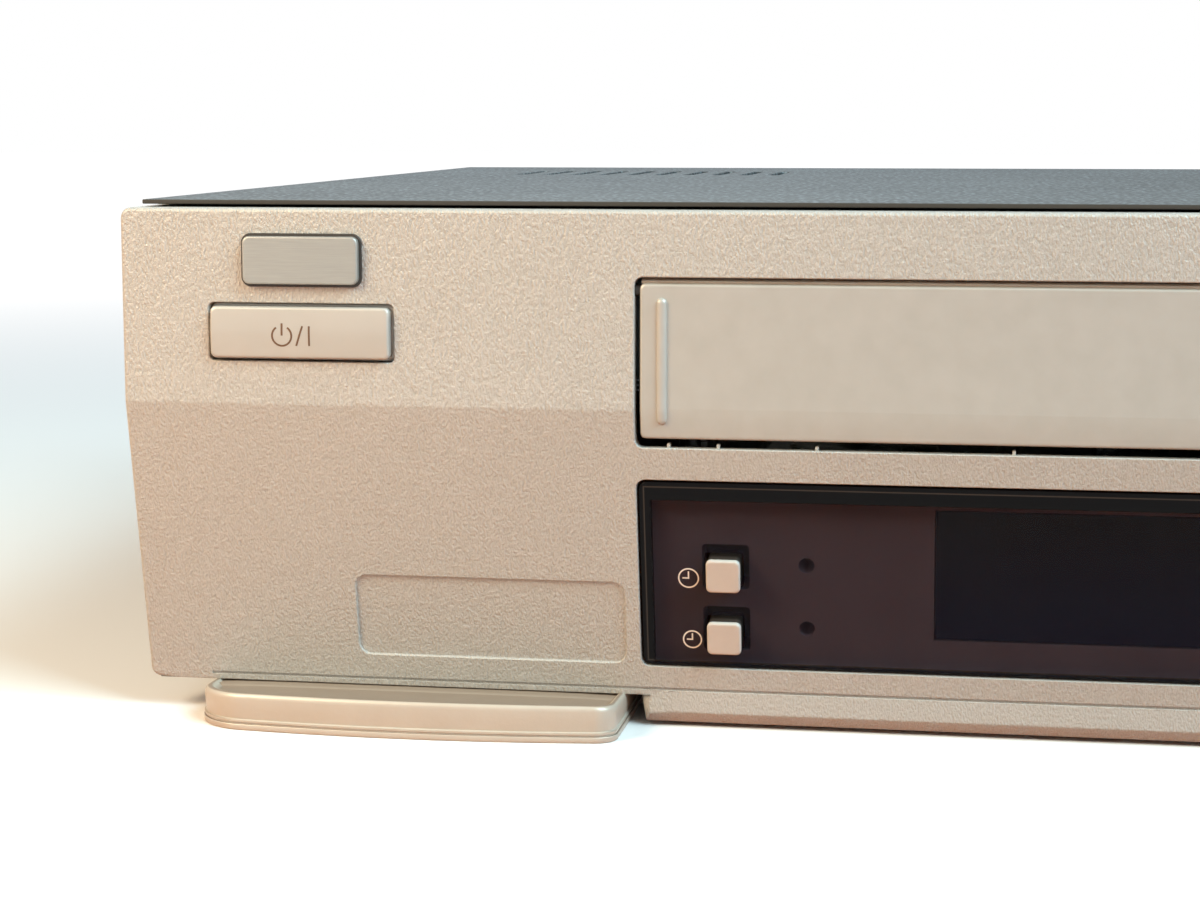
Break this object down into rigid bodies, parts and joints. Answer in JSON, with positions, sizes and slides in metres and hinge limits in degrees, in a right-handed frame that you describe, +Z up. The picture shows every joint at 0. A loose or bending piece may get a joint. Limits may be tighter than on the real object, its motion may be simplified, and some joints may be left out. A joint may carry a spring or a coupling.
{
  "type": "video cassette recorder",
  "caption": "Full-width home video cassette recorder: champagne front with a hinged cassette door, smoked display window and push buttons, folded steel cover, tape deck inside.",
  "frame": {"origin": "middle of the footprint, on the floor under the feet", "axes": "+X to the right seen from the front, +Y towards the back, +Z up; the front face looks along -Y"},
  "size_m": [0.4, 0.282, 0.0944],
  "materials": {
    "champagne_plastic": "champagne metallic ABS with a fine leather-like moulded grain",
    "satin_plastic": "champagne metallic ABS, smooth satin",
    "badge_metal": "bare satin plate",
    "smoked_window": "polished smoked acrylic",
    "black_plastic": "black moulded plastic",
    "display_glass": "dark glass envelope of the display tube",
    "cream_plastic": "cream moulded plastic",
    "cover_paint": "dark grey speckled semi-gloss paint on sheet steel",
    "zinc_sheet": "zinc-plated sheet steel",
    "bright_steel": "bright steel",
    "turned_aluminium": "fine turned aluminium",
    "circuit_board": "paper-phenolic circuit board with its small components",
    "gear_plastic": "off-white acetal",
    "black_rubber": "black rubber",
    "dark_winding": "ferrite core and taped winding",
    "capacitor_sleeve": "dark blue shrink sleeve",
    "motor_can": "grey motor can and gearbox"
  },
  "bodies": {
    "case": {"front_panel": "champagne_plastic", "front_foot_left": "champagne_plastic", "front_foot_right": "champagne_plastic", "badge_plate": "badge_metal", "display_window": "smoked_window", "display_carrier": "black_plastic", "scart_socket_1": "black_plastic", "scart_socket_2": "black_plastic", "mains_inlet": "black_plastic", "display_tube": "display_glass", "top_cover": "cover_paint", "base_pan": "zinc_sheet", "rear_panel": "zinc_sheet", "deck_chassis": "zinc_sheet", "lift_plate_left": "zinc_sheet", "lift_plate_right": "zinc_sheet", "tuner_module": "zinc_sheet", "audio_sockets": "zinc_sheet", "full_erase_head": "zinc_sheet", "audio_control_head": "zinc_sheet", "cover_screw_left_front": "bright_steel", "cover_screw_left_rear": "bright_steel", "cover_screw_right_front": "bright_steel", "cover_screw_right_rear": "bright_steel", "lower_drum": "turned_aluminium", "heat_sink": "turned_aluminium", "front_board": "circuit_board", "main_board": "circuit_board", "power_board": "circuit_board", "rear_foot_left": "black_rubber", "rear_foot_right": "black_rubber", "drive_belt": "black_rubber", "mains_transformer": "dark_winding", "smoothing_capacitor": "capacitor_sleeve", "loading_motor": "motor_can"},
    "cassette_door": {"cassette_door": "satin_plastic"},
    "power_button": {"power_button": "satin_plastic"},
    "eject_button": {"eject_button": "satin_plastic"},
    "channel_up_button": {"channel_up_button": "satin_plastic"},
    "channel_down_button": {"channel_down_button": "satin_plastic"},
    "play_button": {"play_button": "satin_plastic"},
    "rewind_button": {"rewind_button": "satin_plastic"},
    "stop_button": {"stop_button": "satin_plastic"},
    "fast_forward_button": {"fast_forward_button": "satin_plastic"},
    "record_button": {"record_button": "satin_plastic"},
    "pause_button": {"pause_button": "satin_plastic"},
    "timer_button": {"timer_button": "cream_plastic"},
    "second_timer_button": {"second_timer_button": "cream_plastic"},
    "carriage_slider": {"carriage_slider": "bright_steel"},
    "cassette_holder": {"cassette_holder": "zinc_sheet"},
    "upper_drum": {"upper_drum": "turned_aluminium"},
    "supply_reel": {"supply_reel": "gear_plastic"},
    "take_up_reel": {"take_up_reel": "gear_plastic"},
    "capstan": {"capstan": "bright_steel"},
    "clutch_pulley": {"clutch_pulley": "gear_plastic"},
    "pinch_arm": {"pinch_arm": "bright_steel"},
    "pinch_roller": {"pinch_roller": "black_rubber"},
    "supply_guide_pole": {"supply_guide_pole": "bright_steel"},
    "take_up_guide_pole": {"take_up_guide_pole": "bright_steel"},
    "cam_gear": {"cam_gear": "gear_plastic"}
  },
  "joints": [
    {"name": "door_hinge", "type": "hinge", "parent": "case", "child": "cassette_door", "pos_m": [0, -0.133, 0.07929], "axis": [1, 0, 0], "range_deg": [0, 88], "stiffness_Nm_per_rad": 0.004},
    {"name": "power_button_press", "type": "slide", "parent": "case", "child": "power_button", "axis": [0, 1, 0], "range_m": [0, 0.0008], "stiffness_N_per_m": 700},
    {"name": "eject_button_press", "type": "slide", "parent": "case", "child": "eject_button", "axis": [0, 1, 0], "range_m": [0, 0.0008], "stiffness_N_per_m": 700},
    {"name": "channel_up_button_press", "type": "slide", "parent": "case", "child": "channel_up_button", "axis": [0, 1, 0], "range_m": [0, 0.0008], "stiffness_N_per_m": 700},
    {"name": "channel_down_button_press", "type": "slide", "parent": "case", "child": "channel_down_button", "axis": [0, 1, 0], "range_m": [0, 0.0008], "stiffness_N_per_m": 700},
    {"name": "play_button_press", "type": "slide", "parent": "case", "child": "play_button", "axis": [0, 0.9808, 0.1951], "range_m": [0, 0.0008], "stiffness_N_per_m": 700},
    {"name": "rewind_button_press", "type": "slide", "parent": "case", "child": "rewind_button", "axis": [0, 0.9808, 0.1951], "range_m": [0, 0.0008], "stiffness_N_per_m": 700},
    {"name": "stop_button_press", "type": "slide", "parent": "case", "child": "stop_button", "axis": [0, 0.9808, 0.1951], "range_m": [0, 0.0008], "stiffness_N_per_m": 700},
    {"name": "fast_forward_button_press", "type": "slide", "parent": "case", "child": "fast_forward_button", "axis": [0, 0.9808, 0.1951], "range_m": [0, 0.0008], "stiffness_N_per_m": 700},
    {"name": "record_button_press", "type": "slide", "parent": "case", "child": "record_button", "axis": [0, 0.9808, 0.1951], "range_m": [0, 0.0008], "stiffness_N_per_m": 700},
    {"name": "pause_button_press", "type": "slide", "parent": "case", "child": "pause_button", "axis": [0, 0.9808, 0.1951], "range_m": [0, 0.0008], "stiffness_N_per_m": 700},
    {"name": "timer_button_press", "type": "slide", "parent": "case", "child": "timer_button", "axis": [0, 0.9808, 0.1951], "range_m": [0, 0.0008], "stiffness_N_per_m": 700},
    {"name": "second_timer_button_press", "type": "slide", "parent": "case", "child": "second_timer_button", "axis": [0, 0.9808, 0.1951], "range_m": [0, 0.0008], "stiffness_N_per_m": 700},
    {"name": "carriage_travel", "type": "slide", "parent": "case", "child": "carriage_slider", "axis": [0, -1, 0], "range_m": [-0.05, 0]},
    {"name": "holder_drop", "type": "slide", "parent": "carriage_slider", "child": "cassette_holder", "axis": [0, 0, 1], "range_m": [-0.02, 0]},
    {"name": "reel_supply_spin", "type": "hinge", "parent": "case", "child": "supply_reel", "pos_m": [-0.0462, -0.043, 0.034], "axis": [0, 0, 1], "continuous": true},
    {"name": "reel_take_up_spin", "type": "hinge", "parent": "case", "child": "take_up_reel", "pos_m": [0.0462, -0.043, 0.034], "axis": [0, 0, 1], "continuous": true},
    {"name": "drum_spin", "type": "hinge", "parent": "case", "child": "upper_drum", "pos_m": [0, 0.055, 0.0302], "axis": [0.1011, 0, 0.9949], "continuous": true},
    {"name": "capstan_spin", "type": "hinge", "parent": "case", "child": "capstan", "pos_m": [0.064, 0.026, 0.03], "axis": [0, 0, 1], "continuous": true},
    {"name": "clutch_spin", "type": "hinge", "parent": "case", "child": "clutch_pulley", "pos_m": [0, -0.043, 0.02], "axis": [0, 0, 1], "continuous": true},
    {"name": "cam_turn", "type": "hinge", "parent": "case", "child": "cam_gear", "pos_m": [-0.082, 0.045, 0.027], "axis": [0, 0, 1], "range_deg": [0, 200]},
    {"name": "pinch_arm_swing", "type": "hinge", "parent": "case", "child": "pinch_arm", "pos_m": [0.088, 0.041, 0.03], "axis": [0, 0, -1], "range_deg": [0, 22]},
    {"name": "pinch_roller_spin", "type": "hinge", "parent": "pinch_arm", "child": "pinch_roller", "pos_m": [0.079, 0.01655, 0.042], "axis": [0, 0, 1], "continuous": true},
    {"name": "supply_pole_travel", "type": "slide", "parent": "case", "child": "supply_guide_pole", "axis": [-0.3911, 0.9203, 0], "range_m": [0, 0.0434]},
    {"name": "take_up_pole_travel", "type": "slide", "parent": "case", "child": "take_up_guide_pole", "axis": [0.3911, 0.9203, 0], "range_m": [0, 0.0435]}
  ],
  "couplings": [
    {"joint": "take_up_pole_travel", "follows": "supply_pole_travel", "ratio": 1},
    {"joint": "cam_turn", "follows": "supply_pole_travel", "rad_per_m": 80.39},
    {"joint": "pinch_arm_swing", "follows": "supply_pole_travel", "rad_per_m": 8.8272},
    {"joint": "clutch_spin", "follows": "capstan_spin", "ratio": 0.65035}
  ]
}
